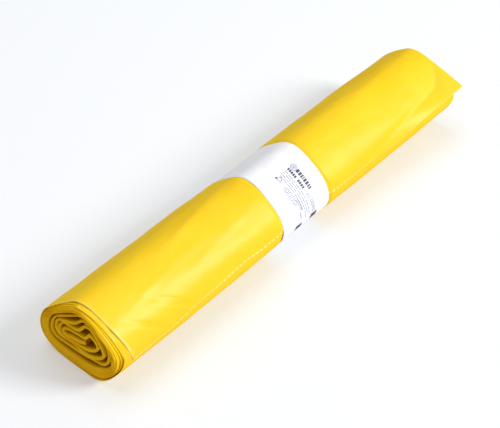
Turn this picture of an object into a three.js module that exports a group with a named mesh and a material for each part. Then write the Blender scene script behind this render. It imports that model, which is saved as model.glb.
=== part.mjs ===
// A coreless roll of plastic refuse bags. One long web of folded bags is wound on itself, and a
// glued paper band holds it near the middle. Millimetres: X runs along the roll, Z is up, and the
// roll lies on Z = 0, a little flattened by its own weight.
import * as THREE from "three";

// The roll as it lies.
const ROLL_WIDTH = 73; // across, along Y
const ROLL_HEIGHT = 59; // from the floor to its top
const WOUND_LENGTH = 345; // a 700 mm bag folded once, less what its folds draw in

// The wound web: each turn stands for the many film layers that lie tight together.
const TURNS = 5; // under the outer bag
const CORE_WIDTH = 5; // the first fold, pressed flat at the middle
const CORE_RISE = 27; // from the floor to what the web is wound round
const TURN_GAP = 0.4; // air between turns
const SEGMENTS_PER_TURN = 24;
const FAR_SLIP = 6; // how far the web's far edge has slipped out at the front of every turn

// The outer bag: the last turn of the web.
const BAG_THICKNESS = 1; // its folded film, with the air in it
const BAG_NEAR_SLIP = 12; // how far its near edge has drawn back where it ends

// The loose corner of the outer bag at the far end, which has sprung off the roll.
const FLAP_START = 32; // from the band to where the bag begins to leave the roll
const FLAP_REACH = 38; // how much of the free end stands off at the very corner
const FLAP_SPRING = 0.6; // how far it has sprung, from 0, wound, to 1, straight
const FLAP_ROWS = 5;

// The paper band.
const BAND_WIDTH = 48;
const BAND_THICKNESS = 0.25;
const BAND_PLACE = 155; // from the near end to the band's near edge
const BAND_CLEARANCE = 0.3; // between the film and the paper
const BAND_SQUEEZE = 6; // the stretch beside the band over which the roll narrows
const BAND_OVERLAP = 16; // glued lap of the paper's two ends, on the back
const BAND_LAP_SHARE = 0.42; // where that lap begins, as a share of the way round
const BAND_SIDES = 72;

// The section's outline: shares of the half width across and of the height up, from the free end
// of the web at the front, under the roll, up the back and over the top. Z = 0 is its flat.
const OUTLINE_SHARES = [
  [-0.99, 0.53],
  [-0.94, 0.37],
  [-0.78, 0.2],
  [-0.43, 0.02],
  [0, -0.01],
  [0.42, -0.01],
  [0.8, 0.09],
  [1.0, 0.29],
  [0.9, 0.57],
  [0.5, 0.82],
  [0, 1],
  [-0.44, 0.93],
  [-0.83, 0.75],
];
const outline = new THREE.CatmullRomCurve3(
  OUTLINE_SHARES.map(([y, z]) => new THREE.Vector3(0, (y * ROLL_WIDTH) / 2, z * ROLL_HEIGHT)),
  true,
);
const ROUND = outline.getLength();
const CENTRE = new THREE.Vector2(0, CORE_RISE);
const HALF_WIDTH = ROLL_WIDTH / 2;

// The outline's point at a share of the way round, flat on the floor, with its tangent and normal.
function section(share) {
  const turn = ((share % 1) + 1) % 1;
  const point = outline.getPointAt(turn);
  const along = outline.getTangentAt(turn);
  return {
    point: new THREE.Vector2(point.y, Math.max(point.z, 0)),
    tangent: new THREE.Vector2(along.y, along.z),
    normal: new THREE.Vector2(along.z, -along.y),
  };
}

// How far out the web's inner face lies after a number of turns, as a share of the outline's size.
// Its outer face is a gap under the inner face of the next turn.
function innerFace(turn) {
  const core = CORE_WIDTH / ROLL_WIDTH;
  const body = 1 - BAG_THICKNESS / HALF_WIDTH;
  const bagPitch = (BAG_THICKNESS + TURN_GAP) / HALF_WIDTH;
  return turn < TURNS
    ? THREE.MathUtils.lerp(core, body, turn / TURNS)
    : body + bagPitch * (turn - TURNS);
}

function outerFace(turn) {
  return innerFace(turn + 1) - TURN_GAP / HALF_WIDTH;
}

// The stations along X at which the web has a row of vertices, after a number of turns.
function stations(turn) {
  const bag = turn - TURNS;
  const nearEdge = BAG_NEAR_SLIP * Math.max(bag, 0) ** 2;
  const farEdge = WOUND_LENGTH + FAR_SLIP * Math.cos(Math.PI * turn) ** 4;
  const bandEnd = BAND_PLACE + BAND_WIDTH;
  const flapStart = bandEnd + FLAP_START;
  const flap = Array.from({ length: FLAP_ROWS }, (_, i) =>
    THREE.MathUtils.lerp(flapStart, farEdge, (i + 1) / FLAP_ROWS),
  );
  return [
    nearEdge,
    BAND_PLACE - BAND_SQUEEZE,
    BAND_PLACE - BAND_CLEARANCE,
    bandEnd + BAND_CLEARANCE,
    bandEnd + BAND_SQUEEZE,
    flapStart,
    ...flap,
  ];
}

// Where the middle of the web runs in the section, at a station, as a point at the outline's size.
// Towards the far corner the outer bag leaves the roll before its free end, and runs flat from there
// to a free end that has sprung part of the way from wound to straight.
function course(turn, x, farEdge) {
  const bag = turn - TURNS;
  const wound = section(turn).point;
  const flapStart = BAND_PLACE + BAND_WIDTH + FLAP_START;
  const open = THREE.MathUtils.clamp((x - flapStart) / (farEdge - flapStart), 0, 1);
  const leave = 1 - (FLAP_REACH / ROUND) * open ** 2;
  if (bag <= leave) return wound;
  const last = section(leave);
  const straight = last.point.clone().addScaledVector(last.tangent, (1 - leave) * ROUND);
  const freeEnd = section(1).point.lerp(straight, FLAP_SPRING);
  return last.point.lerp(freeEnd, (bag - leave) / (1 - leave));
}

// The wound web: a box bent into a spiral, whose faces are the web's two sides and its edges.
function bagRoll() {
  const turns = TURNS + 1;
  const rows = stations(0).length;
  const web = new THREE.BoxGeometry(1, 1, 1, rows - 1, turns * SEGMENTS_PER_TURN, 1);
  const freeEnd = outerFace(turns);
  const underBand = 1 - (BAND_THICKNESS + BAND_CLEARANCE) / HALF_WIDTH;
  const position = web.getAttribute("position");
  for (let i = 0; i < position.count; i++) {
    const row = Math.round((position.getX(i) + 0.5) * (rows - 1));
    const turn = (position.getY(i) + 0.5) * turns;
    const outside = position.getZ(i) < 0;
    const along = stations(turn);
    const x = along[row];
    const banded = x > BAND_PLACE - BAND_SQUEEZE && x < BAND_PLACE + BAND_WIDTH + BAND_SQUEEZE;
    const squeeze = banded ? underBand / freeEnd : 1;
    const size = squeeze * (outside ? outerFace(turn) : innerFace(turn));
    const at = CENTRE.clone().lerp(course(turn, x, along.at(-1)), size);
    position.setXYZ(i, x, at.x, Math.max(at.y, 0));
  }
  return web;
}

// The outline moved outwards by a distance that may change on the way round.
function offsetOutline(distanceAt) {
  return Array.from({ length: BAND_SIDES }, (_, i) => {
    const share = i / BAND_SIDES;
    const { point, normal } = section(share);
    return point.addScaledVector(normal, distanceAt(share));
  });
}

// The paper band: a ring of paper on the outline, double over its glued lap.
function paperBand() {
  const lapEnd = BAND_LAP_SHARE + BAND_OVERLAP / ROUND;
  const overLap = (share) => share >= BAND_LAP_SHARE && share <= lapEnd;
  const ring = new THREE.Shape(offsetOutline((share) => (overLap(share) ? BAND_THICKNESS : 0)));
  ring.holes.push(new THREE.Path(offsetOutline(() => -BAND_THICKNESS)));
  const paper = new THREE.ExtrudeGeometry(ring, { depth: BAND_WIDTH, bevelEnabled: false });
  // The extrusion runs along Z with the section in X and Y, and turns to run along X.
  const lay = new THREE.Matrix4().set(0, 0, 1, BAND_PLACE, 1, 0, 0, 0, 0, 1, 0, 0, 0, 0, 0, 1);
  return paper.applyMatrix4(lay);
}

const yellowFilm = new THREE.MeshStandardMaterial({ color: 0xf7d417, roughness: 0.35, metalness: 0 });
const whitePaper = new THREE.MeshStandardMaterial({ color: 0xf3f4f7, roughness: 0.75, metalness: 0 });

function named(name, geometry, material) {
  const mesh = new THREE.Mesh(geometry, material);
  mesh.name = name;
  return mesh;
}

const roll = new THREE.Group();
roll.add(named("bag_roll", bagRoll(), yellowFilm));
roll.add(named("paper_band", paperBand(), whitePaper));

// The origin is the middle of the footprint, on the floor.
const middle = new THREE.Box3().setFromObject(roll).getCenter(new THREE.Vector3());
roll.position.set(-middle.x, -middle.y, 0);

export default roll;
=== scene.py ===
"""Dresses a coreless roll of yellow refuse bags, held by a printed paper band.

Shapes are worked out in millimetres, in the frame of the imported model, and become metres when a
mesh is made. The roll runs along X, its near end at the lowest X, and lies on Z = 0. A share is a
place round the section, from the free end of the web at the front (0), under the roll, up the back
and over the top to the front again (1).
"""
import logging
from dataclasses import dataclass, field
from enum import Enum

import bpy
import numpy as np
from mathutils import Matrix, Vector


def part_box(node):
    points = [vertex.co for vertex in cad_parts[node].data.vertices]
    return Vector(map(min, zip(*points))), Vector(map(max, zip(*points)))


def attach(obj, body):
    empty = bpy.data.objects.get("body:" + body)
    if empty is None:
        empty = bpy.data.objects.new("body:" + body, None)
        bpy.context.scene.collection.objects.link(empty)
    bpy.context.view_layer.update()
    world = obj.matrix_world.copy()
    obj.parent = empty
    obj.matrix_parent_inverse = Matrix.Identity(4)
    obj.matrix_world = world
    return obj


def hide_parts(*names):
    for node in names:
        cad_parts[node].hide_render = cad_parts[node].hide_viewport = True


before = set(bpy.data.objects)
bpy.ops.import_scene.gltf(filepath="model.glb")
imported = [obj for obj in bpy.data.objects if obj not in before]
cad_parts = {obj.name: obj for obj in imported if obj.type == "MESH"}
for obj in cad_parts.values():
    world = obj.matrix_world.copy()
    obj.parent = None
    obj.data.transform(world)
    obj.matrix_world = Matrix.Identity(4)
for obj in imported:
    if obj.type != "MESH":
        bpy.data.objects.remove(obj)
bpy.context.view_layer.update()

MM = 0.001
LOG = logging.getLogger("bag_roll")


class Slot(Enum):
    """Names for the film's and the paper's materials."""

    FILM = "yellow_film"
    PAPER = "white_paper"


def smooth_step(value: np.ndarray) -> np.ndarray:
    """Returns value clipped to 0..1 and eased at both ends, by 3v² - 2v³."""
    clipped = np.clip(value, 0.0, 1.0)
    return clipped * clipped * (3.0 - 2.0 * clipped)


def ridge(distance: np.ndarray, width: float) -> np.ndarray:
    """Returns a bell of height 1 across a line: exp(-(distance / width)²)."""
    return np.exp(-((distance / width) ** 2))


def resample(points: np.ndarray, count: int) -> np.ndarray:
    """Spaces points evenly along an open line.

    Args:
        points: (n, 2) points of the line.
        count: how many points are wanted.

    Returns:
        (count, 2) points at equal lengths along the same line.
    """
    steps = np.linalg.norm(np.diff(points, axis=0), axis=1)
    length = np.concatenate([[0.0], np.cumsum(steps)])
    wanted = np.linspace(0.0, length[-1], count)
    return np.stack([np.interp(wanted, length, points[:, i]) for i in range(2)], 1)


def through(points: np.ndarray, closed: bool, per_span: int = 24) -> np.ndarray:
    """Draws a Catmull-Rom curve through control points.

    Args:
        points: (n, 2) control points.
        closed: whether the curve joins its end to its start.
        per_span: how many points each span gets.

    Returns:
        (m, 2) points on the curve. Each span is the cubic whose slopes at its ends are half of the
        chord between the neighbours.
    """
    if closed:
        before, start, end, after = (np.roll(points, k, axis=0) for k in (1, 0, -1, -2))
    else:
        ends = np.concatenate([[2 * points[0] - points[1]], points, [2 * points[-1] - points[-2]]])
        before, start, end, after = ends[:-3], ends[1:-2], ends[2:-1], ends[3:]
    t = np.linspace(0.0, 1.0, per_span, endpoint=False)[None, :, None]
    before, start, end, after = (p[:, None, :] for p in (before, start, end, after))
    curve = 0.5 * (2 * start + (end - before) * t
                   + (2 * before - 5 * start + 4 * end - after) * t ** 2
                   + (3 * start - before - 3 * end + after) * t ** 3)
    return curve.reshape(-1, 2)


def unevenness(x: np.ndarray, y: np.ndarray, scale: float, seed: int, waves: int = 18) -> np.ndarray:
    """Makes a soft random relief.

    Args:
        x, y: places, in millimetres, as arrays of one shape.
        scale: the mean length of a wave, in millimetres.
        seed: the seed of the random draws.
        waves: how many sine waves are summed.

    Returns:
        The sum of sine waves in random directions, with a spread of about 1.
    """
    draw = np.random.default_rng(seed)
    total = np.zeros(np.broadcast(x, y).shape)
    for _ in range(waves):
        angle = draw.uniform(0.0, np.pi)
        pitch = 2.0 * np.pi / (scale * draw.uniform(0.6, 1.9))
        total = total + np.sin(pitch * (x * np.cos(angle) + y * np.sin(angle)) + draw.uniform(0.0, 6.28))
    return total * np.sqrt(2.0 / waves)


@dataclass
class Section:
    """The roll's outline in Y and Z, under the paper band's outer face.

    Attributes:
        width: its size across, along Y.
        height: its size from the floor to its top.
        centre_y: where its middle lies in the frame.
        shares: its control points, as shares of the half width and of the height.
        waves: how many harmonics of the line through them are kept.
        samples: how many points the line has.
    """

    width: float
    height: float
    centre_y: float
    shares: tuple[tuple[float, float], ...] = (
        (-0.99, 0.53), (-0.94, 0.37), (-0.78, 0.2), (-0.43, 0.02), (0.0, -0.01), (0.42, -0.01),
        (0.8, 0.09), (0.99, 0.285), (0.874, 0.558), (0.49, 0.815), (0.0, 1.0), (-0.44, 0.93), (-0.83, 0.75),
    )
    waves: int = 7
    samples: int = 1025

    def __post_init__(self) -> None:
        """Works out the outline once, evenly spaced and freed of the control points' kinks.

        The line through the control points keeps only its first few harmonics.
        """
        control = np.array(self.shares) * [self.width / 2.0, self.height]
        line = through(control, closed=True)
        even = resample(np.concatenate([line, line[:1]]), self.samples)[:-1]
        spectrum = np.fft.fft(even[:, 0] + 1j * even[:, 1])
        order = np.abs(np.fft.fftfreq(len(even), 1.0 / len(even)))
        soft = np.fft.ifft(np.where(order <= self.waves, spectrum, 0.0))
        closed = np.stack([soft.real, soft.imag], 1)
        self.line = resample(np.concatenate([closed, closed[:1]]), self.samples)
        self.round = float(np.linalg.norm(np.diff(self.line, axis=0), axis=1).sum())
        self.places = np.linspace(0.0, 1.0, len(self.line))

    def point(self, share: np.ndarray) -> np.ndarray:
        """Returns the (..., 2) points at shares of the way round, across and up from the floor."""
        turn = np.mod(share, 1.0)
        return np.stack([np.interp(turn, self.places, self.line[:, i]) for i in range(2)], -1)

    def tangent(self, share: np.ndarray) -> np.ndarray:
        """Returns the (..., 2) unit tangents, from a short chord either side."""
        step = 0.004
        chord = self.point(share + step) - self.point(share - step)
        return chord / np.linalg.norm(chord, axis=-1, keepdims=True)

    def normal(self, share: np.ndarray) -> np.ndarray:
        """Returns the (..., 2) unit normals, which point away from the roll."""
        along = self.tangent(share)
        return np.stack([along[..., 1], -along[..., 0]], -1)

    def in_frame(self, x: np.ndarray, flat: np.ndarray) -> np.ndarray:
        """Returns (..., 3) points in the frame, from distances along and (..., 2) section points."""
        y = flat[..., 0] + self.centre_y
        z = np.maximum(flat[..., 1], 0.0)
        return np.stack([np.broadcast_to(x, y.shape), y, z], -1)


@dataclass
class Surface:
    """A grid of points that becomes a mesh.

    Attributes:
        name: the piece's name.
        points: (rows, columns, 3) points, in millimetres.
        across_closed: whether each row of points joins its end to its start.
        capped: whether the first and last rows are filled with a face.
        marks: values for each point that the material reads, by their names.
    """

    name: str
    points: np.ndarray
    across_closed: bool = False
    capped: bool = False
    marks: dict[str, np.ndarray] = field(default_factory=dict)

    def faces(self) -> np.ndarray:
        """Returns the (n, 4) quads between neighbouring rows and columns."""
        rows, columns = self.points.shape[:2]
        index = np.arange(rows * columns).reshape(rows, columns)
        if self.across_closed:
            index = np.concatenate([index, index[:, :1]], 1)
        return np.stack([index[:-1, :-1], index[1:, :-1], index[1:, 1:], index[:-1, 1:]], -1).reshape(-1, 4)

    def build(self) -> bpy.types.Object:
        """Makes the mesh, smooth and with its faces outwards.

        Returns:
            The object, at the origin, with its place in its mesh.
        """
        rows, columns = self.points.shape[:2]
        polygons = self.faces().tolist()
        if self.capped:
            polygons.append(list(range(columns - 1, -1, -1)))
            polygons.append(list(range((rows - 1) * columns, rows * columns)))
        made = make_object(self.name, self.points.reshape(-1, 3), polygons)
        for label, values in self.marks.items():
            layer = made.data.attributes.new(label, "FLOAT", "POINT")
            layer.data.foreach_set("value", values.reshape(-1).astype(np.float32))
        return made


def make_object(name: str, points: np.ndarray, polygons: list[list[int]]) -> bpy.types.Object:
    """Makes a smooth mesh object at the origin.

    Args:
        name: the object's name.
        points: (n, 3) points, in millimetres.
        polygons: the corners of each face.

    Returns:
        The object, in the scene's collection.
    """
    mesh = bpy.data.meshes.new(name)
    mesh.from_pydata((points * MM).tolist(), [], polygons)
    mesh.polygons.foreach_set("use_smooth", np.ones(len(mesh.polygons), bool))
    mesh.update()
    made = bpy.data.objects.new(name, mesh)
    bpy.context.scene.collection.objects.link(made)
    return made


def turn_outwards(made: bpy.types.Object) -> None:
    """Flips every face of a closed mesh whose volume comes out negative."""
    mesh = made.data
    mesh.calc_loop_triangles()
    corners = np.zeros(len(mesh.loop_triangles) * 3, np.int32)
    mesh.loop_triangles.foreach_get("vertices", corners)
    place = np.zeros(len(mesh.vertices) * 3)
    mesh.vertices.foreach_get("co", place)
    a, b, c = place.reshape(-1, 3)[corners.reshape(-1, 3)].transpose(1, 0, 2)
    if np.einsum("ij,ij->", a, np.cross(b, c)) < 0.0:
        mesh.flip_normals()


def group(name: str, inputs: dict[str, float], outputs: dict[str, str]) -> bpy.types.NodeTree:
    """Makes an empty shader node group.

    Args:
        name: the group's name.
        inputs: each float input and its value.
        outputs: each output and its socket type.

    Returns:
        The node tree, with its Group Input and Group Output in place.
    """
    tree = bpy.data.node_groups.new(name, "ShaderNodeTree")
    for label, value in inputs.items():
        tree.interface.new_socket(label, in_out="INPUT", socket_type="NodeSocketFloat").default_value = value
    for label, kind in outputs.items():
        tree.interface.new_socket(label, in_out="OUTPUT", socket_type=kind)
    tree.nodes.new("NodeGroupInput").name = "In"
    tree.nodes.new("NodeGroupOutput").name = "Out"
    return tree


def add_node(tree: bpy.types.NodeTree, kind: str, **sockets: object) -> bpy.types.Node:
    """Adds a node and sets or links its input sockets, named with _ for a space."""
    node = tree.nodes.new(kind)
    for label, value in sockets.items():
        socket = node.inputs[label.replace("_", " ")]
        if isinstance(value, bpy.types.NodeSocket):
            tree.links.new(value, socket)
        else:
            socket.default_value = value
    return node


def math_node(tree: bpy.types.NodeTree, operation: str, a: object, b: object = 0.0) -> bpy.types.NodeSocket:
    """Adds a Math node on two values or sockets, and returns its output."""
    node = tree.nodes.new("ShaderNodeMath")
    node.operation = operation
    for socket, value in zip(node.inputs, (a, b)):
        if isinstance(value, bpy.types.NodeSocket):
            tree.links.new(value, socket)
        else:
            socket.default_value = value
    return node.outputs[0]


def crinkle_group() -> bpy.types.NodeTree:
    """Builds the relief of handled film: long soft creases with a fine crinkle over them.

    Returns:
        A group with inputs Length, Breadth and Fine, in waves for each metre, and the output Height.
    """
    tree = group("film_crinkle", {"Length": 14.0, "Breadth": 60.0, "Fine": 220.0},
                 {"Height": "NodeSocketFloat"})
    source, out = tree.nodes["In"], tree.nodes["Out"]
    place = tree.nodes.new("ShaderNodeTexCoord")
    parts = add_node(tree, "ShaderNodeSeparateXYZ", Vector=place.outputs["Object"])
    stretched = add_node(
        tree, "ShaderNodeCombineXYZ",
        X=math_node(tree, "MULTIPLY", parts.outputs["X"], source.outputs["Length"]),
        Y=math_node(tree, "MULTIPLY", parts.outputs["Y"], source.outputs["Breadth"]),
        Z=math_node(tree, "MULTIPLY", parts.outputs["Z"], source.outputs["Breadth"]),
    )
    creases = add_node(tree, "ShaderNodeTexNoise", Vector=stretched.outputs[0], Scale=1.0, Detail=3.0,
                       Roughness=0.55, Distortion=0.6)
    fine = add_node(tree, "ShaderNodeTexNoise", Vector=place.outputs["Object"],
                    Scale=source.outputs["Fine"], Detail=2.0)
    faint = math_node(tree, "MULTIPLY", fine.outputs["Fac"], 0.12)
    tree.links.new(math_node(tree, "ADD", creases.outputs["Fac"], faint), out.inputs["Height"])
    return tree


def mottle_group() -> bpy.types.NodeTree:
    """Builds a soft patchy mask over the surface.

    Returns:
        A group with the input Scale, in patches for each metre, and the output Mask, from 0 to 1.
    """
    tree = group("soft_mottle", {"Scale": 40.0}, {"Mask": "NodeSocketFloat"})
    source, out = tree.nodes["In"], tree.nodes["Out"]
    place = tree.nodes.new("ShaderNodeTexCoord")
    patches = add_node(tree, "ShaderNodeTexNoise", Vector=place.outputs["Object"],
                       Scale=source.outputs["Scale"], Detail=4.0, Roughness=0.5)
    spread = tree.nodes.new("ShaderNodeMapRange")
    tree.links.new(patches.outputs["Fac"], spread.inputs["Value"])
    spread.inputs["From Min"].default_value = 0.3
    spread.inputs["From Max"].default_value = 0.7
    tree.links.new(spread.outputs["Result"], out.inputs["Mask"])
    return tree


@dataclass(frozen=True)
class FilmFinish:
    """Yellow polyethylene film, satin and slightly crinkled.

    Attributes:
        name: the material's name.
        pale, deep: the film's two tones, mixed in soft patches.
        marked: the tone laid where the marked attribute is 1: by default a pale painted highlight, and a dark
            painted shade on the folded web.
        mark: that attribute's name.
        roughness: the least and the most, in the same patches.
        gloss: how much of the shine lies over the film.
        gloss_index: the shine's refractive index, high so that it stays even at a glance.
        gloss_roughness: the shine's roughness.
        crinkle_depth: the depth of the relief, in metres.
    """

    name: str = "yellow_film"
    pale: tuple[float, float, float] = (0.87, 0.585, 0.016)
    deep: tuple[float, float, float] = (0.85, 0.54, 0.008)
    # A pale painted highlight.
    marked: tuple[float, float, float] = (1.0, 0.86, 0.32)
    mark: str = "edge_highlight"
    roughness: tuple[float, float] = (0.36, 0.46)
    gloss: float = 0.085
    gloss_index: float = 3.0
    gloss_roughness: float = 0.40
    crinkle_depth: float = 0.0006

    def build(self, crinkle: bpy.types.NodeTree, mottle: bpy.types.NodeTree) -> bpy.types.Material:
        """Makes the material.

        Args:
            crinkle: the film's relief group.
            mottle: the patchy mask group.

        Returns:
            The material.
        """
        made, tree, shader = principled(self.name)
        patches = placed(tree, mottle, Scale=26.0)
        colour = mix_colours(tree, patches.outputs["Mask"], self.pale, self.deep)
        # Where the mark attribute is 1 the colour gives way to the marked tone: painted highlight on the
        # outer bag, painted shade on the folded web.
        marked = tree.nodes.new("ShaderNodeAttribute")
        marked.attribute_name = self.mark
        over = tree.nodes.new("ShaderNodeMix")
        over.data_type = "RGBA"
        tree.links.new(marked.outputs["Fac"], over.inputs["Factor"])
        tree.links.new(colour, over.inputs["A"])
        over.inputs["B"].default_value = (*self.marked, 1.0)
        tree.links.new(over.outputs["Result"], shader.inputs["Base Color"])
        rough = spread_value(tree, patches.outputs["Mask"], *self.roughness)
        tree.links.new(rough, shader.inputs["Roughness"])
        relief = placed(tree, crinkle, Length=14.0, Breadth=60.0, Fine=260.0)
        bump = add_node(tree, "ShaderNodeBump", Height=relief.outputs["Height"],
                        Distance=self.crinkle_depth, Strength=1.0)
        tree.links.new(bump.outputs["Normal"], shader.inputs["Normal"])
        shader.inputs["Specular IOR Level"].default_value = 0.0
        shader.inputs["Coat Weight"].default_value = self.gloss
        shader.inputs["Coat IOR"].default_value = self.gloss_index
        shader.inputs["Coat Roughness"].default_value = self.gloss_roughness
        return made


@dataclass(frozen=True)
class PaperFinish:
    """Uncoated white label paper, with a faint fibre."""

    name: str = "white_paper"
    pale: tuple[float, float, float] = (0.86, 0.865, 0.90)
    deep: tuple[float, float, float] = (0.78, 0.785, 0.82)
    roughness: tuple[float, float] = (0.62, 0.78)

    def build(self, mottle: bpy.types.NodeTree) -> bpy.types.Material:
        """Makes the material from the patchy mask group, and returns it."""
        made, tree, shader = principled(self.name)
        patches = placed(tree, mottle, Scale=60.0)
        colour = mix_colours(tree, patches.outputs["Mask"], self.pale, self.deep)
        tree.links.new(colour, shader.inputs["Base Color"])
        rough = spread_value(tree, patches.outputs["Mask"], *self.roughness)
        tree.links.new(rough, shader.inputs["Roughness"])
        place = tree.nodes.new("ShaderNodeTexCoord")
        fibre = add_node(tree, "ShaderNodeTexNoise", Vector=place.outputs["Object"], Scale=1800.0, Detail=3.0)
        bump = add_node(tree, "ShaderNodeBump", Height=fibre.outputs["Fac"], Distance=0.00004, Strength=0.6)
        tree.links.new(bump.outputs["Normal"], shader.inputs["Normal"])
        return made


@dataclass(frozen=True)
class InkFinish:
    """Dark blue ink, printed a little unevenly."""

    name: str = "blue_ink"
    pale: tuple[float, float, float] = (0.055, 0.060, 0.140)
    deep: tuple[float, float, float] = (0.020, 0.022, 0.065)
    roughness: tuple[float, float] = (0.5, 0.6)

    def build(self, mottle: bpy.types.NodeTree) -> bpy.types.Material:
        """Makes the material from the patchy mask group, and returns it."""
        made, tree, shader = principled(self.name)
        patches = placed(tree, mottle, Scale=900.0)
        colour = mix_colours(tree, patches.outputs["Mask"], self.pale, self.deep)
        tree.links.new(colour, shader.inputs["Base Color"])
        rough = spread_value(tree, patches.outputs["Mask"], *self.roughness)
        tree.links.new(rough, shader.inputs["Roughness"])
        return made


def principled(name: str) -> tuple[bpy.types.Material, bpy.types.NodeTree, bpy.types.Node]:
    """Makes a node material, and returns it with its tree and its Principled BSDF."""
    made = bpy.data.materials.new(name)
    made.use_nodes = True
    return made, made.node_tree, made.node_tree.nodes["Principled BSDF"]


def placed(tree: bpy.types.NodeTree, effect: bpy.types.NodeTree, **values: float) -> bpy.types.Node:
    """Adds a node group to a material with its own values, and returns its node."""
    node = tree.nodes.new("ShaderNodeGroup")
    node.node_tree = effect
    for label, value in values.items():
        node.inputs[label].default_value = value
    return node


def mix_colours(tree: bpy.types.NodeTree, mask: bpy.types.NodeSocket, first: tuple[float, ...],
                second: tuple[float, ...]) -> bpy.types.NodeSocket:
    """Mixes two colours by a mask, and returns the colour socket."""
    ramp = tree.nodes.new("ShaderNodeValToRGB")
    ramp.color_ramp.elements[0].color = (*first, 1.0)
    ramp.color_ramp.elements[1].color = (*second, 1.0)
    tree.links.new(mask, ramp.inputs["Fac"])
    return ramp.outputs["Color"]


def spread_value(tree: bpy.types.NodeTree, mask: bpy.types.NodeSocket, low: float,
                 high: float) -> bpy.types.NodeSocket:
    """Spreads a mask from 0..1 to low..high, and returns the value socket."""
    spread = tree.nodes.new("ShaderNodeMapRange")
    tree.links.new(mask, spread.inputs["Value"])
    spread.inputs["To Min"].default_value = low
    spread.inputs["To Max"].default_value = high
    return spread.outputs["Result"]


@dataclass
class RollPlaces:
    """Where the roll's parts lie along X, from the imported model.

    Attributes:
        near_end, far_end: the ends of the roll.
        band_near, band_far: the edges of the paper band.
        near_slips: how far each turn's near edge has slipped in, from the web's free end.
        near_round: which part of that slip there is at a share of the way round.
        far_slips: how far in the far edge lies at a share of the way round.
    """

    near_end: float
    far_end: float
    band_near: float
    band_far: float
    near_slips: tuple[float, ...] = (12.0, 7.0, 4.0, 1.4, 0.0)
    near_round: tuple[tuple[float, float], ...] = (
        (0.0, 1.0), (0.06, 0.6), (0.15, 0.25), (0.3, 0.1), (0.5, 0.1), (0.65, 0.18), (0.8, 0.42), (0.9, 0.62),
        (0.96, 0.85), (1.0, 1.0),
    )
    far_slips: tuple[tuple[float, float], ...] = (
        (0.0, 0.4), (0.1, 1.6), (0.3, 3.0), (0.5, 3.4), (0.62, 3.4), (0.7, 5.2), (0.76, 6.0), (0.82, 5.2),
        (0.9, 2.8), (1.0, 0.0),
    )

    def near_edge(self, turns_left: np.ndarray) -> np.ndarray:
        """Returns where the web's near edge lies, by how many turns it is from its free end.

        Each outer turn has slipped further in than the last, and most at the front.
        """
        slip = np.interp(turns_left, np.arange(len(self.near_slips)), self.near_slips)
        at, part = np.array(self.near_round).T
        return self.near_end + slip * np.interp(np.mod(-turns_left, 1.0), at, part)

    def far_edge(self, share: np.ndarray) -> np.ndarray:
        """Returns where the web's far edge lies: furthest out at the front of every turn."""
        at, slip = np.array(self.far_slips).T
        return self.far_end - np.interp(np.mod(share, 1.0) + (share == 1.0), at, slip)

    def banded(self, x: np.ndarray, spread: float) -> np.ndarray:
        """Returns 1 under the paper band, easing to 0 over a stretch that starts just inside its edge."""
        inside = 0.2
        gap = np.maximum(self.band_near - x, x - self.band_far)
        return 1.0 - smooth_step((gap + inside) / spread)

    @classmethod
    def from_frame(cls) -> "RollPlaces":
        """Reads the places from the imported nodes' boxes, in millimetres."""
        roll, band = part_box("bag_roll"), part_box("paper_band")
        return cls(roll[0].x / MM, roll[1].x / MM, band[0].x / MM, band[1].x / MM)


def section_from_frame() -> Section:
    """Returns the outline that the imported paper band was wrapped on, in millimetres."""
    low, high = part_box("paper_band")
    lap = 0.12
    return Section(width=(high.y - low.y) / MM - lap, height=high.z / MM,
                   centre_y=(high.y + low.y) / 2.0 / MM - lap / 2.0)


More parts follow.
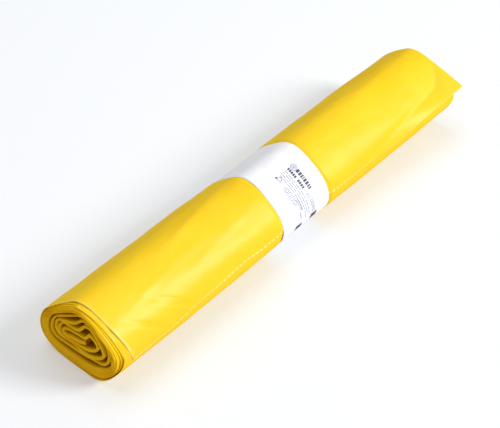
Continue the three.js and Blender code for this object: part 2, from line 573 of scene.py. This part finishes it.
@dataclass
class WoundWeb:
    """The turns under the outer bag: one web, folded at the core and wound tight outside.

    Attributes:
        tight_turns: how many turns run from the outermost fold to the outline.
        step: the distance between points along the web.
        points_per_turn: how finely a turn is worked out before it is spaced by the step.
        core_half: half of the web's thickness in the core.
        fill: half of the web's share of the room that a turn has.
        under_skin: how deep the web's outer face lies under the outline.
        squeeze: how much deeper it lies under the band.
        recess: how far in the core's near edge lies.
        leaf_depth: how deep the grooves in its edges are, as a share of half of its thickness.
        core_folds: the core's middle line in the section.
        outer_fold: the turn round it, which the tight turns start from.
    """

    section: Section
    places: RollPlaces
    tight_turns: int = 6
    step: float = 1.1
    points_per_turn: int = 240
    core_half: float = 0.92
    fill: float = 0.35
    under_skin: float = 0.95
    squeeze: float = 1.3
    recess: float = 1.6
    leaf_depth: float = 1.6
    core_folds: tuple[tuple[float, float], ...] = (
        (-5.0, 27.0), (0.0, 24.6), (7.0, 24.4), (13.0, 23.2), (15.6, 25.6), (12.5, 28.3), (6.0, 28.2),
        (0.0, 29.6), (-4.6, 31.2), (-6.6, 33.6), (-7.8, 36.2), (-10.4, 37.6), (-13.2, 36.0), (-15.8, 32.6),
        (-15.6, 29.0), (-11.6, 25.2), (-5.0, 22.0), (1.0, 20.6), (8.0, 20.2), (14.6, 19.6), (18.8, 21.6),
        (18.9, 27.0), (15.6, 31.0), (9.4, 32.4), (4.0, 34.0), (-0.6, 36.2), (-3.0, 39.6), (-5.4, 42.4),
        (-8.8, 43.2), (-12.6, 41.6), (-16.6, 38.8), (-19.8, 35.0), (-21.4, 30.8), (-21.0, 26.8),
        (-17.0, 22.4), (-10.0, 19.4), (-3.0, 18.0), (5.0, 17.2), (12.6, 16.5), (19.0, 16.6), (22.4, 19.6),
        (22.4, 26.4), (19.2, 31.8), (13.6, 35.6), (7.0, 38.8), (1.6, 41.4), (-1.6, 44.4), (-4.6, 47.4),
        (-9.4, 48.2), (-15.0, 45.4), (-20.2, 41.4), (-24.2, 36.4), (-25.8, 30.6),
    )
    outer_fold: tuple[tuple[float, float], ...] = (
        (-25.8, 30.6), (-24.6, 24.2), (-19.6, 18.6), (-11.4, 15.6), (-2.0, 14.4), (8.0, 13.6), (18.0, 13.4),
        (24.6, 15.6), (26.4, 22.2), (23.6, 30.4), (17.4, 37.0), (9.6, 42.6), (3.2, 46.8), (-2.4, 50.4),
        (-9.0, 51.4), (-16.4, 48.6), (-23.0, 43.4), (-27.4, 37.2), (-28.8, 31.2),
    )

    def course(self) -> tuple[np.ndarray, np.ndarray, np.ndarray]:
        """Works out the middle line of the web in the section.

        The core follows its folds. From there each turn moves evenly from the outermost fold to just
        under the outline: point = fold(share) + (outline(share) - fold(share)) * level(turn). The
        web fills its share of the room between the two.

        Returns:
            (n, 2) points, the (n,) turns counted from the outermost fold, below 0 in the core, and half
            of the web's thickness at each point.
        """
        core = through(np.array(self.core_folds), closed=False)
        fold = through(np.array(self.outer_fold), closed=False)
        turns = np.linspace(0.0, self.tight_turns + 1.0, self.points_per_turn * (self.tight_turns + 1))
        share = np.mod(turns, 1.0)
        share[-1] = 1.0
        even = resample(fold, 400)
        around = np.linspace(0.0, 1.0, len(even))
        inside = np.stack([np.interp(share, around, even[:, i]) for i in range(2)], 1)
        outline = self.section.point(share)
        room = np.linalg.norm(outline - inside, axis=1) - self.under_skin
        half = self.fill * room / (self.tight_turns + 0.5)
        skin = outline - self.section.normal(share) * (self.under_skin + half)[:, None]
        first = np.linalg.norm(even[-1] - even[0]) / np.linalg.norm(skin[0] - even[0])
        level = np.where(turns < 1.0, 0.0, first + (1.0 - first) * (turns - 1.0) / self.tight_turns)
        spiral = inside + (skin - inside) * level[:, None]
        line = np.concatenate([core[:-1], spiral])
        count = np.concatenate([np.linspace(-3.0, 0.0, len(core) - 1, endpoint=False), turns])
        thick = np.concatenate([np.full(len(core) - 1, self.core_half), half])
        steps = np.linalg.norm(np.diff(line, axis=0), axis=1)
        length = np.concatenate([[0.0], np.cumsum(steps)])
        wanted = np.arange(0.0, length[-1], self.step)
        line = np.stack([np.interp(wanted, length, line[:, i]) for i in range(2)], 1)
        return self.relax(line), np.interp(wanted, length, count), np.interp(wanted, length, thick)

    @staticmethod
    def relax(line: np.ndarray, reach: int = 2) -> np.ndarray:
        """Returns the line with each point replaced by the mean of its neighbours."""
        padded = np.pad(line, ((reach, reach), (0, 0)), mode="edge")
        weights = np.hanning(2 * reach + 3)[1:-1]
        weights /= weights.sum()
        return sum(w * padded[i:i + len(line)] for i, w in enumerate(weights))

    @staticmethod
    def leaves(count: int = 3, per_leaf: int = 5) -> tuple[np.ndarray, np.ndarray]:
        """Lays out the web's edge: rounded leaves of folded film with grooves between them.

        Returns:
            How far out each point lies, from -1 to 1, and how far in from the edge, from 0 to 1.
        """
        out = np.linspace(-1.0, 1.0, count * per_leaf + 1)
        phase = np.abs(np.mod((out + 1.0) * count / 2.0, 1.0) - 0.5) * 2.0
        return out, 1.0 - np.sqrt(1.0 - np.minimum(phase, 1.0) ** 2 * 0.98)

    def squeeze_stations(self) -> np.ndarray:
        """Returns the places along X, beside and under the band, where the web's faces have points."""
        low, high = self.places.band_near, self.places.band_far
        return np.array([low - 60.0, low - 14.0, low - 9.0, low - 4.0, low, high, high + 4.0, high + 9.0,
                         high + 14.0, high + 60.0])

    def build(self) -> bpy.types.Object:
        """Carries the web's flat cross-section along its course.

        Each point of the course gets a ring of points in the plane of X and the course's normal:
        the near edge's leaves, the outer face, the far edge's leaves and the inner face.

        Returns:
            The closed mesh.
        """
        line, turns, thick = self.course()
        along = np.gradient(line, axis=0)
        along /= np.linalg.norm(along, axis=1, keepdims=True)
        out = np.stack([along[:, 1], -along[:, 0]], 1)
        place = np.arange(len(line)) * self.step
        blend = smooth_step(turns / 2.0)
        half = self.core_half + (thick - self.core_half) * smooth_step(turns)
        # The core's thickness and edges vary along the web, and those of the tight turns less.
        half = (half * (1.0 + 0.08 * unevenness(place, 0.0, 40.0, 5) * (1.0 - blend)))[:, None]
        wander = 0.5 * unevenness(place, 0.0, 34.0, 11) * (1.0 - 0.6 * blend)
        left = self.tight_turns + 2.0 - turns
        near = (self.places.near_edge(left) + self.recess * (1.0 - blend) + wander)[:, None]
        far = (self.places.far_edge(turns) - 1.0 + wander)[:, None]
        leaf_out, leaf_in = self.leaves()
        beside = self.squeeze_stations()
        side = len(beside) + 4
        turned = np.concatenate([leaf_out, np.ones(side), -leaf_out, -np.ones(side)])
        depth = leaf_in * half * self.leaf_depth
        inner = np.concatenate([near + 3.0, near + 14.0, np.broadcast_to(beside, (len(line), len(beside))),
                                far - 14.0, far - 3.0], 1)
        x = np.concatenate([near + depth, inner, far - depth, inner[:, ::-1]], 1)
        rim = np.minimum(x - near, far - x)
        bare = 0.85 * smooth_step((turns - self.tight_turns + 1.6) / 0.6)[:, None] * (turned > 0.5)
        # Painted shade: the folded film is darkened on its faces from 0.5 mm in from each edge, where they
        # lie between the turns, and far less on the bare outer faces of the last turns.
        painted_shade = smooth_step((rim - 0.5) / 4.0) * (1.0 - bare)
        tight = self.squeeze * smooth_step(turns / self.tight_turns)[:, None] * self.places.banded(x, 14.0)
        flat = line[:, None, :] + out[:, None, :] * (turned * half - tight)[..., None]
        points = self.section.in_frame(x, flat)
        made = Surface("wound_web", points, across_closed=True, capped=True, marks={"painted_shade": painted_shade}).build()
        turn_outwards(made)
        return made


@dataclass(frozen=True)
class Crease:
    """A soft raised or sunken line on the sheet.

    Attributes:
        along: its middle, from the roll's near end.
        place: its middle, as a share of the way round.
        slant: millimetres gained round the roll for each millimetre along it.
        bend: how much the slant grows, for each millimetre along.
        width: half of its breadth.
        height: how far it stands out, or in where below 0.
        length: half of its length.
    """

    along: float
    place: float
    slant: float
    bend: float
    width: float
    height: float
    length: float

    def relief(self, along: np.ndarray, around: np.ndarray, full: float) -> np.ndarray:
        """Returns its height at places along and round a roll of the given girth."""
        run = along - self.along
        middle = self.place * full + self.slant * run + self.bend * run ** 2
        return self.height * ridge(around - middle, self.width) * ridge(run, self.length)


@dataclass
class OuterBag:
    """The last turn of the web: a loose sheet with creases, a torn edge and a sprung corner.

    Attributes:
        tooth: the length of one tooth of the torn edge.
        tooth_depth: how far the teeth stand out.
        columns_per_tooth: how many columns of points a tooth has.
        rows: how many rows of points run round the roll.
        last_rows: how far the last rows lie from the free end.
        thickness: the film's thickness.
        low, rise, bulge: how far the free sheet stands off the outline at its start, how much that
            grows on its way round, and how much it swells between the band and each end.
        held_low, held_rise: the same under the band.
        overhang: how far the near edge reaches past the turn below, on the back and the top.
        crease_gain: how strongly the creases show.
        creases: the soft lines on the sheet.
        fold, bow: how wide the bend is where the sprung part leaves the roll, and how far it bows.
        fade: the stretch along X over which the sheet begins to leave.
        under: how far it reaches under its own free end, as a share of the way round.
        free_edge: how much further than a whole turn the sheet reaches, by the distance along X.
        reach: how wide the sprung part is, by the distance along X.
        stand: where the sprung part's free edge lies in the section, by the distance along X.
    """

    section: Section
    places: RollPlaces
    tooth: float = 4.0
    tooth_depth: float = 0.9
    columns_per_tooth: int = 4
    rows: int = 136
    last_rows: tuple[float, ...] = (2.4, 1.7, 1.2, 0.8, 0.4, 0.0)
    under: float = 0.24
    thickness: float = 0.25
    low: float = -0.62
    rise: float = 0.42
    bulge: float = 0.35
    held_low: float = -1.62
    held_rise: float = 0.46
    overhang: float = 0.9
    crease_gain: float = 1.5
    fold: float = 2.5
    bow: float = 0.5
    fade: float = 24.0
    free_edge: tuple[tuple[float, float], ...] = (
        (-164.0, 5.4), (-130.0, 5.0), (-109.0, 1.4), (-89.0, 0.2), (-60.0, -1.6), (-45.0, -0.4),
        (-22.0, -1.0), (30.0, -1.2), (59.0, -0.6), (108.0, 0.0),
    )
    reach: tuple[tuple[float, float], ...] = (
        (50.0, 0.0), (70.0, 3.0), (107.0, 10.5), (140.0, 13.2), (157.0, 15.5), (163.0, 20.6), (169.0, 29.5),
        (171.5, 36.5), (175.5, 39.5),
    )
    stand: tuple[tuple[float, float, float], ...] = (
        (50.0, -36.2, 31.3), (85.0, -37.0, 31.5), (108.0, -38.3, 33.2), (138.0, -40.0, 38.0),
        (157.0, -41.2, 40.3), (175.5, -42.0, 42.0),
    )
    creases: tuple[Crease, ...] = (
        Crease(40.0, 0.865, -0.16, 0.0016, 2.8, 0.34, 46.0),
        Crease(66.0, 0.80, -0.20, 0.0016, 3.6, 0.36, 60.0),
        Crease(96.0, 0.775, -0.26, 0.0012, 2.6, 0.30, 50.0),
        Crease(118.0, 0.87, -0.10, 0.001, 2.4, 0.22, 34.0),
        Crease(84.0, 0.70, -0.05, 0.0006, 3.8, 0.22, 60.0), Crease(132.0, 0.83, 0.22, 0.0, 2.2, 0.20, 18.0),
        Crease(28.0, 0.945, 0.75, 0.0, 2.2, -0.60, 9.0), Crease(52.0, 0.935, 0.85, 0.0, 2.2, -0.60, 11.0),
        Crease(22.0, 0.93, 0.6, 0.0, 1.4, 0.22, 8.0), Crease(250.0, 0.72, 0.30, 0.002, 1.8, 0.16, 24.0),
        Crease(256.0, 0.71, 0.34, 0.002, 1.6, 0.14, 22.0), Crease(264.0, 0.73, 0.36, 0.002, 1.8, 0.14, 24.0),
        Crease(236.0, 0.82, 0.12, 0.001, 2.8, 0.24, 40.0), Crease(300.0, 0.76, -0.10, 0.001, 3.0, 0.20, 36.0),
        Crease(70.0, 0.40, 0.2, 0.0, 3.0, 0.30, 44.0), Crease(240.0, 0.46, -0.2, 0.0, 3.2, 0.30, 52.0),
        Crease(278.0, 0.955, -0.15, 0.0, 1.5, -0.26, 34.0), Crease(284.0, 0.925, -0.16, 0.0, 4.6, 0.30, 44.0),
        Crease(130.0, 0.52, 0.16, 0.0, 3.0, 0.26, 30.0), Crease(290.0, 0.58, 0.2, 0.0, 3.0, 0.28, 40.0),
    )

    def teeth(self, x: np.ndarray) -> np.ndarray:
        """Returns the row of torn teeth: 1 on a tooth, easing to 0 between two."""
        return smooth_step(2.5 * np.abs(np.mod(x / self.tooth, 1.0) - 0.5))

    def grid(self) -> tuple[np.ndarray, np.ndarray]:
        """Lays out the sheet's points.

        The near edge wavers a little, and the last row carries the teeth.

        Returns:
            The (rows, columns) arrays of the share round the roll and the distance along it.
        """
        length = self.places.far_end - self.places.near_end
        part = np.linspace(0.0, 1.0, int(length / self.tooth) * self.columns_per_tooth + 1)[None, :]
        last = 1.0 - np.array(self.last_rows) / self.section.round
        share = np.linspace(-self.under, last[0], self.rows - len(last) + 1)[:-1]
        share = np.concatenate([share, last])[:, None]
        waver = 0.35 * unevenness(share * self.section.round, 0.0, 50.0, 3)
        near = self.places.near_edge(1.0 - share) + waver
        near = near - self.overhang * (1.0 - smooth_step((share - 0.7) / 0.15))
        x = near + (self.places.far_edge(share) - near) * part
        at, more = np.array(self.free_edge).T
        teeth = self.tooth_depth * (self.teeth(x) - 0.5)
        extra = (np.interp(x, at, more) + teeth * (share > 0.999)) / self.section.round
        return share + extra * smooth_step((share - 0.85) / 0.15), x

    def from_free_end(self, shape: tuple[int, int]) -> np.ndarray:
        """Returns how far the grid's last rows lie from the free end, and infinity for the others."""
        rest = np.full(shape[0] - len(self.last_rows), np.inf)
        return np.broadcast_to(np.concatenate([rest, self.last_rows])[:, None], shape)

    def lift(self, share: np.ndarray, x: np.ndarray) -> np.ndarray:
        """Works out how far the sheet stands off the outline, in millimetres.

        It rises evenly on its way round, is drawn in under the band, bulges a little between the band
        and each end, and carries creases and a soft unevenness.

        Args:
            share: places round the roll.
            x: places along it.

        Returns:
            The distance outwards along the normal.
        """
        around = share * self.section.round
        way = (share + self.under) / (1.0 + self.under)
        along = x - self.places.near_end
        part = along / (self.places.far_end - self.places.near_end)
        free = self.low + self.rise * way + self.bulge * np.sin(2.0 * np.pi * part) ** 2
        free = free + 0.10 * unevenness(x * 0.4, around, 24.0, 21)
        free = free + 0.04 * unevenness(x * 0.6, around, 8.0, 22)
        # The near edge lies snug on the turn below, least where the sheet lies on its own start, and
        # the torn edge stands up a little.
        snug = 0.5 - 0.42 * smooth_step((share - 0.7) / 0.06)
        free = free - snug * ridge(x - self.places.near_edge(1.0 - share), 2.4)
        free = free + 0.3 * ridge((1.0 - share) * self.section.round, 0.9)
        relief = sum(crease.relief(along, around, self.section.round) for crease in self.creases)
        free = free + self.crease_gain * relief
        held = self.held_low + self.held_rise * smooth_step((way - 0.19) / 0.25)
        band = self.places.banded(x, 2.8)
        return free + (held - free) * band

    def sprung(self, share: np.ndarray, x: np.ndarray, wound: np.ndarray) -> np.ndarray:
        """Moves the part beyond the crease off the roll.

        Past the crease the sheet runs in the section from its last held point to the free edge:
        place = held + (edge - held) * t + bow * sin(pi * t) * normal.

        Args:
            share: places round the roll.
            x: places along it.
            wound: the (..., 2) section points of the sheet where it is wound.

        Returns:
            The (..., 2) section points with the corner sprung.
        """
        at, reach = np.array(self.reach).T
        stand_at, stand_y, stand_z = np.array(self.stand).T
        wide = np.interp(x, at, reach)
        leave = 1.0 - wide / self.section.round
        held = self.section.point(leave) + self.section.normal(leave) * self.lift(leave, x)[..., None]
        edge = np.stack([np.interp(x, stand_at, stand_y), np.interp(x, stand_at, stand_z)], -1)
        run = np.where(wide > 0.01, (share - leave) * self.section.round / np.maximum(wide, 0.01), 0.0)
        run = np.maximum(run, 0.0)[..., None]
        chord = edge - held
        length = np.linalg.norm(chord, axis=-1, keepdims=True)
        away = np.stack([chord[..., 1], -chord[..., 0]], -1) / np.maximum(length, 0.01)
        straight = held + chord * run + away * self.bow * np.sin(np.pi * np.clip(run, 0.0, 1.0))
        blend = (smooth_step((share - leave) * self.section.round / self.fold) * (x > at[0]))[..., None]
        ease = smooth_step((x - at[0]) / self.fade)[..., None]
        return wound + (straight - wound) * blend * ease

    def edge_highlight_mask(self, share: np.ndarray, x: np.ndarray) -> np.ndarray:
        """Returns the painted highlight along the film's edges, from 0 to 1.

        It is strongest on the teeth of the free edge, less on the far half, and lies along the near edge too.
        """
        edge_highlight = np.clip(1.0 - self.from_free_end(share.shape) / 1.1, 0.0, 1.0)
        edge_highlight = edge_highlight * (0.35 + 0.65 * self.teeth(x))
        edge_highlight = edge_highlight * (1.0 - 0.75 * smooth_step((x - 20.0) / 50.0))
        front = smooth_step((share - 0.6) / 0.2)
        return np.maximum(edge_highlight, 0.45 * front * ridge(x - self.places.near_edge(1.0 - share), 1.2))

    def build(self) -> bpy.types.Object:
        """Lays the sheet round the roll and springs its far corner.

        Returns:
            The sheet, given its thickness by Solidify.
        """
        share, x = self.grid()
        wound = self.section.point(share) + self.section.normal(share) * self.lift(share, x)[..., None]
        points = self.section.in_frame(x, self.sprung(share, x, wound))
        # The pale mark is a painted highlight along the free edge and the near edge.
        made = Surface("outer_bag", points, marks={"edge_highlight": self.edge_highlight_mask(share, x)}).build()
        wall = made.modifiers.new("film", "SOLIDIFY")
        wall.thickness = self.thickness * MM
        wall.offset = -1.0
        return made


@dataclass
class PaperBand:
    """The strip of label paper, glued over itself on the back.

    Attributes:
        thickness: the paper's thickness.
        lap_share: where the strip starts, as a share of the way round.
        lap: how far it is glued over its start.
        sink: how deep its outer face lies under the outline.
        rows, columns: how many points it has round the roll and along it.
    """

    section: Section
    places: RollPlaces
    thickness: float = 0.18
    lap_share: float = 0.42
    lap: float = 16.0
    sink: float = 0.85
    rows: int = 300
    columns: int = 40

    def lift(self, way: np.ndarray, x: np.ndarray) -> np.ndarray:
        """Returns how far the paper's outer face stands off the outline, from its start (0) to its end.

        It rises by its own thickness where it climbs over its start, and waves a little at its edges.
        """
        around = np.mod(way, 1.0) * self.section.round
        climb = smooth_step((way - 1.0) * self.section.round / 3.0 + 1.0)
        middle = (self.places.band_near + self.places.band_far) / 2.0
        edge = (np.abs(x - middle) / (self.places.band_far - middle)) ** 6
        wave = 0.05 * unevenness(x, around, 34.0, 31) + 0.04 * edge * unevenness(around, 0.0, 22.0, 33)
        return climb * (self.thickness + 0.05) - self.sink + wave

    def laid(self, way: np.ndarray, x: np.ndarray, above: float = 0.0) -> np.ndarray:
        """Returns the (..., 3) points of the paper's outer face, or a little above it."""
        share = way + self.lap_share
        off = (self.lift(way, x) + above)[..., None]
        flat = self.section.point(share) + self.section.normal(share) * off
        return self.section.in_frame(x, flat)

    def face(self, share: np.ndarray, x: np.ndarray, above: float = 0.0) -> np.ndarray:
        """Returns the same at shares of the way round, on top of the lap."""
        way = np.mod(share - self.lap_share, 1.0)
        way = np.where(way * self.section.round < self.lap, way + 1.0, way)
        return self.laid(way, x, above)

    def build(self) -> bpy.types.Object:
        """Returns the band: one sheet that starts under its own lap and ends on top of it."""
        end = 1.0 + self.lap / self.section.round
        way = np.linspace(0.0, end, self.rows)[:, None]
        x = np.linspace(self.places.band_near, self.places.band_far, self.columns)[None, :]
        way, x = np.broadcast_arrays(way, x)
        made = Surface("paper_band_sheet", self.laid(way, x)).build()
        wall = made.modifiers.new("paper", "SOLIDIFY")
        wall.thickness = self.thickness * MM
        wall.offset = -1.0
        return made


@dataclass(frozen=True)
class Row:
    """A row of blocks that runs round the band.

    Attributes:
        along: the row's middle, from the band's near edge.
        top: where it starts, in millimetres up the band from the free end's level.
        blocks: the length of each block round the band.
        gap: the space between blocks.
        tall: the blocks' size along the roll.
        line: the breadth of a hollow block's outline, or 0 for a solid block.
    """

    along: float
    top: float
    blocks: tuple[float, ...]
    gap: float
    tall: float
    line: float = 0.0


DARK_ROWS = (
    Row(34.0, 30.0, (1.9, 1.7, 1.2, 0.7, 1.7, 1.7, 1.1, 1.1), 0.65, 3.2),
    Row(29.4, 34.6, (1.2, 1.3, 1.4, 1.3, 1.4), 0.45, 2.2),
    Row(29.4, 24.2, (1.4, 1.4, 1.5, 1.2), 0.45, 2.2),
    Row(32.0, -4.6, (6.0,), 0.5, 6.4),
    Row(16.6, -5.8, (6.0,), 0.5, 6.4),
)
FAINT_ROWS = (
    Row(29.6, 13.0, (1.0, 2.2), 0.6, 2.2, 0.35),
    Row(31.0, 7.6, (2.2, 2.0, 1.8, 2.4), 0.7, 3.0, 0.42),
    Row(26.3, 34.8, (3.2, 4.6, 2.4, 5.2, 3.6, 2.2, 4.4, 3.2, 3.4), 0.6, 0.55),
    Row(24.4, 34.8, (2.2, 5.6, 3.4, 2.6, 4.6, 5.0, 2.4, 4.2), 0.6, 0.55),
    Row(22.5, 34.8, (4.8, 2.6, 4.2, 3.2, 5.4, 2.8, 4.0, 3.4, 2.2), 0.6, 0.55),
    Row(20.6, 34.2, (2.6, 3.8, 5.0, 2.2, 4.8, 2.4, 5.2), 0.6, 0.55),
    Row(19.4, 14.0, (2.0, 2.4, 2.2), 0.8, 1.7, 0.4),
    Row(17.0, 25.4, (0.45, 2.4, 2.6, 2.4, 2.2, 0.45), 0.8, 3.6, 0.45),
    Row(18.0, 5.0, (6.6,), 0.5, 0.6),
)
DARK_RINGS = ((16.9, 34.4, 0.75, 0.05),)
FAINT_RINGS = (
    (33.6, 32.8, 2.7, 2.25), (33.6, 32.8, 1.7, 1.3), (33.6, 32.8, 0.7, 0.1), (18.2, 32.2, 1.9, 1.4),
)


@dataclass
class BandPrint:
    """Plain marks printed on the front of the band: rings, rows of blocks and two squares.

    Attributes:
        name: the piece's name.
        rows: its rows of blocks.
        rings: the place along and up, and the outer and inner radius, of each ring.
        above: how far the ink lies above the paper.
    """

    section: Section
    band: PaperBand
    name: str
    rows: tuple[Row, ...] = ()
    rings: tuple[tuple[float, float, float, float], ...] = ()
    above: float = 0.05

    @staticmethod
    def bar(low: float, high: float, bottom: float, top: float) -> tuple[np.ndarray, np.ndarray]:
        """Returns a block as (2, n) places along the roll and up the band."""
        up = np.linspace(bottom, top, 2 + int((top - bottom) / 1.2))
        return np.broadcast_arrays(np.array([[low], [high]]), up[None, :])

    @staticmethod
    def ring(along: float, up: float, outer: float, inner: float) -> tuple[np.ndarray, np.ndarray]:
        """Returns a ring as (2, n) places along the roll and up the band."""
        angle = np.linspace(0.0, 2.0 * np.pi, 33)[None, :]
        radius = np.array([[inner], [outer]])
        return along + radius * np.cos(angle), up + radius * np.sin(angle)

    def row_patches(self, row: Row) -> list[tuple[np.ndarray, np.ndarray]]:
        """Returns the patches of a row: one for each solid block, four for each hollow one."""
        patches, top = [], row.top
        low, high = row.along - row.tall / 2.0, row.along + row.tall / 2.0
        for length in row.blocks:
            bottom = top - length
            if row.line and length > 2.0 * row.line:
                patches += [
                    self.bar(low, high, top - row.line, top), self.bar(low, high, bottom, bottom + row.line),
                    self.bar(low, low + row.line, bottom + row.line, top - row.line),
                    self.bar(high - row.line, high, bottom + row.line, top - row.line),
                ]
            else:
                patches.append(self.bar(low, high, bottom, top))
            top = bottom - row.gap
        return patches

    def build(self) -> bpy.types.Object:
        """Returns all the marks as one thin mesh just above the paper."""
        patches = [patch for row in self.rows for patch in self.row_patches(row)]
        patches += [self.ring(*ring) for ring in self.rings]
        points, polygons, used = [], [], 0
        for along, up in patches:
            share = 1.0 - up / self.section.round
            grid = self.band.face(share, along + self.band.places.band_near, self.above)
            polygons += (Surface(self.name, grid).faces() + used).tolist()
            points.append(grid.reshape(-1, 3))
            used += len(points[-1])
        return make_object(self.name, np.concatenate(points), polygons)


@dataclass(frozen=True)
class Lamp:
    """A square area light that faces the roll.

    Attributes:
        name: its name.
        direction: the way to it from the roll.
        distance: how far off it hangs, in metres.
        size: the length of its side, in metres.
        power: its power, in watts.
    """

    name: str
    direction: tuple[float, float, float]
    distance: float
    size: float
    power: float

    def build(self) -> None:
        """Hangs the light."""
        data = bpy.data.lights.new(self.name, "AREA")
        data.shape = "SQUARE"
        data.size = self.size
        data.energy = self.power
        made = bpy.data.objects.new(self.name, data)
        way = Vector(self.direction).normalized()
        made.location = way * self.distance
        made.rotation_euler = way.to_track_quat("Z", "Y").to_euler()
        bpy.context.scene.collection.objects.link(made)


@dataclass
class Studio:
    """The camera at the photograph's view, the floor and the soft lights.

    Attributes:
        section: the roll's outline, for its middle.
        azimuth, elevation: the way to the camera, in degrees.
        distance: from the roll to the camera, in millimetres.
        focal_pixels: the camera's focal length, in pixels of the photograph.
        picture_width: the photograph's width, in pixels.
        aim_height, aim_along: where the camera looks, in millimetres.
        offset_pixels: how far that place lies from the photograph's middle.
        floor_half: half of the floor's side, in metres.
        floor_colour, floor_glow: the floor's base colour and how much light it gives off itself.
        sky: how bright the room is.
        lamps: the soft lights.
    """

    section: Section
    azimuth: float = -49.15
    elevation: float = 42.065
    distance: float = 961.0
    focal_pixels: float = 1401.0
    picture_width: float = 500.0
    aim_height: float = 30.0
    aim_along: float = -0.5
    offset_pixels: tuple[float, float] = (13.3, -19.6)
    floor_half: float = 3.0
    floor_colour: tuple[float, float, float] = (0.61, 0.63, 0.66)
    floor_glow: float = 0.26
    sky: float = 0.40
    lamps: tuple[Lamp, ...] = (
        Lamp("key", (0.42, -0.72, 0.58), 3.0, 1.0, 74.0),
        Lamp("top", (0.0, 0.15, 1.0), 2.2, 1.4, 16.0),
        Lamp("back", (-0.35, 0.8, 0.5), 2.6, 1.0, 3.0),
    )

    def back(self) -> Vector:
        """Returns the unit direction from the roll to the camera."""
        a, e = np.radians(self.azimuth), np.radians(self.elevation)
        return Vector((np.sin(a) * np.cos(e), -np.cos(a) * np.cos(e), np.sin(e)))

    def camera(self) -> None:
        """Puts the camera where the photograph was taken from."""
        data = bpy.data.cameras.new("camera")
        data.sensor_width = 36.0
        data.lens = self.focal_pixels * data.sensor_width / self.picture_width
        data.shift_x = -self.offset_pixels[0] / self.picture_width
        data.shift_y = self.offset_pixels[1] / self.picture_width
        data.clip_end = 20.0
        made = bpy.data.objects.new("camera", data)
        target = Vector((self.aim_along, self.section.centre_y, self.aim_height)) * MM
        made.location = target + self.back() * (self.distance * MM)
        made.rotation_euler = self.back().to_track_quat("Z", "Y").to_euler()
        bpy.context.scene.collection.objects.link(made)
        bpy.context.scene.camera = made

    def floor(self) -> None:
        """Lays the pale floor."""
        half = self.floor_half
        corners = [(-half, -half, 0.0), (half, -half, 0.0), (half, half, 0.0), (-half, half, 0.0)]
        mesh = bpy.data.meshes.new("floor")
        mesh.from_pydata(corners, [], [(0, 1, 2, 3)])
        made = bpy.data.objects.new("floor", mesh)
        material, _, shader = principled("pale_floor")
        shader.inputs["Base Color"].default_value = (*self.floor_colour, 1.0)
        shader.inputs["Emission Color"].default_value = (1.0, 1.0, 1.0, 1.0)
        shader.inputs["Emission Strength"].default_value = self.floor_glow
        shader.inputs["Roughness"].default_value = 0.9
        shader.inputs["Specular IOR Level"].default_value = 0.0
        mesh.materials.append(material)
        bpy.context.scene.collection.objects.link(made)

    def world(self) -> None:
        """Lights the room evenly, as a white studio does."""
        made = bpy.data.worlds.new("studio")
        made.use_nodes = True
        sky = made.node_tree.nodes["Background"]
        sky.inputs["Color"].default_value = (1.0, 1.0, 1.0, 1.0)
        sky.inputs["Strength"].default_value = self.sky
        bpy.context.scene.world = made

    def build(self) -> None:
        """Sets up the whole studio."""
        self.camera()
        self.floor()
        self.world()
        for lamp in self.lamps:
            lamp.build()
        bpy.context.scene.view_settings.view_transform = "Standard"
        bpy.context.scene.view_settings.look = "None"


@dataclass
class BagRoll:
    """The whole roll, dressed."""

    section: Section = field(default_factory=section_from_frame)
    places: RollPlaces = field(default_factory=RollPlaces.from_frame)

    def dress(self, made: bpy.types.Object, material: bpy.types.Material, node: str) -> None:
        """Gives a piece its finish and its place in the model.

        Args:
            made: the piece.
            material: its finish.
            node: the CAD node that the piece stands for.
        """
        made.data.materials.append(material)
        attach(made, "root")
        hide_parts(node)
        LOG.info("%s: %d faces", made.name, len(made.data.polygons))

    def build(self) -> None:
        """Builds every piece."""
        crinkle, mottle = crinkle_group(), mottle_group()
        # The outer bag's film lays a pale painted highlight along its free and near edges.
        film = FilmFinish().build(crinkle, mottle)
        # The folded web's marked tone is a dark painted shade, laid on its faces between the turns.
        folded = FilmFinish(name="folded_film", pale=(0.93, 0.60, 0.008), deep=(0.84, 0.48, 0.004),
                            marked=(0.38, 0.14, 0.002), mark="painted_shade", roughness=(0.45, 0.6),
                            gloss=0.03).build(crinkle, mottle)
        paper = PaperFinish().build(mottle)
        self.dress(WoundWeb(self.section, self.places).build(), folded, "bag_roll")
        self.dress(OuterBag(self.section, self.places).build(), film, "bag_roll")
        band = PaperBand(self.section, self.places)
        self.dress(band.build(), paper, "paper_band")
        dark = BandPrint(self.section, band, "dark_print", DARK_ROWS, DARK_RINGS)
        faint = BandPrint(self.section, band, "faint_print", FAINT_ROWS, FAINT_RINGS)
        self.dress(dark.build(), InkFinish().build(mottle), "paper_band")
        pale_ink = InkFinish(name="faded_ink", pale=(0.30, 0.31, 0.46), deep=(0.17, 0.18, 0.33))
        self.dress(faint.build(), pale_ink.build(mottle), "paper_band")


def main() -> None:
    """Builds the roll and its studio."""
    logging.basicConfig(level=logging.INFO, format="%(message)s")
    roll = BagRoll()
    Studio(roll.section).build()
    roll.build()


if __name__ == "__main__":
    main()
